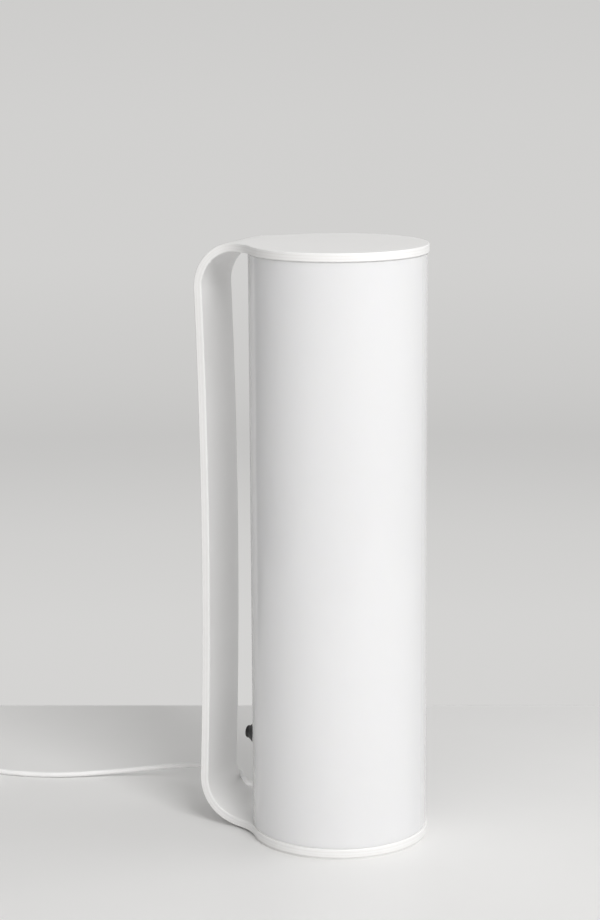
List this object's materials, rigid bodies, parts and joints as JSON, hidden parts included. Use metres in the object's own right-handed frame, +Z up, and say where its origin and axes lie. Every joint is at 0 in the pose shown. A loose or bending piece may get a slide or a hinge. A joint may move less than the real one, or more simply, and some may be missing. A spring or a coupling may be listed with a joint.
{
  "type": "table-top bright-light lamp",
  "caption": "Tall opal tube lamp standing between the two ends of a bent white laminate strip whose upright middle is the carrying handle; push button low on the back; thin white cord.",
  "frame": {"origin": "centre of the round base pad's resting face, on the tube's axis", "axes": "+Z up along the tube's axis; the handle and the push button are on the -X side; +X is the side away from the handle"},
  "size_m": [0.4855, 0.125, 0.42],
  "materials": {
    "painted_laminate": "satin white lacquer",
    "opal_acrylic": "gloss, translucent opal white",
    "pad_rubber": "matt",
    "foam_gasket": "matt",
    "moulded_white": "matt",
    "screw_steel": "zinc plated",
    "extruded_aluminium": "satin",
    "bumper_rubber": "matt",
    "board_white": "white solder mask",
    "led_yellow": "silicone",
    "board_green": "green solder mask",
    "component_black": "matt",
    "can_aluminium": "sleeved",
    "switch_black": "satin",
    "button_black": "semi-gloss",
    "terminal_brass": "plain",
    "spring_steel": "drawn wire",
    "cord_white": "satin flexible jacket",
    "lead_red": "satin jacket",
    "adapter_white": "satin",
    "pin_nickel": "nickel plated",
    "tie_black": "woven hook-and-loop"
  },
  "bodies": {
    "lamp": {"base_pad": "pad_rubber", "laminate_frame": "painted_laminate", "diffuser_tube": "opal_acrylic", "tube_gaskets": "foam_gasket", "base_tray": "moulded_white", "tray_screws": "screw_steel", "column_screws": "screw_steel", "upper_ring": "moulded_white", "ring_screws": "screw_steel", "heat_sink_column": "extruded_aluminium", "column_bumper": "bumper_rubber", "led_board_1": "board_white", "led_board_2": "board_white", "led_board_3": "board_white", "led_row_1": "led_yellow", "led_row_2": "led_yellow", "led_row_3": "led_yellow", "driver_board": "board_green", "driver_standoffs": "moulded_white", "driver_capacitor": "can_aluminium", "driver_inductor": "component_black", "driver_chip": "component_black", "driver_connector": "board_green", "switch_saddle": "switch_black", "switch_body": "switch_black", "switch_bezel": "switch_black", "switch_nut": "switch_black", "switch_terminals": "terminal_brass", "switch_spring": "spring_steel", "cord_strain_relief": "cord_white", "supply_lead": "cord_white", "switch_leads": "lead_red", "led_leads": "lead_red", "supply_cord": "cord_white", "cord_coil": "cord_white", "coil_tie": "tie_black", "power_adapter": "adapter_white", "adapter_pins": "pin_nickel"},
    "button": {"push_button": "button_black"}
  },
  "joints": [
    {"name": "button_press", "type": "slide", "parent": "lamp", "child": "button", "axis": [1, 0, 0], "range_m": [0, 0.003], "stiffness_N_per_m": 400, "springref_m": -0.002, "deforming": ["switch_spring"]}
  ]
}
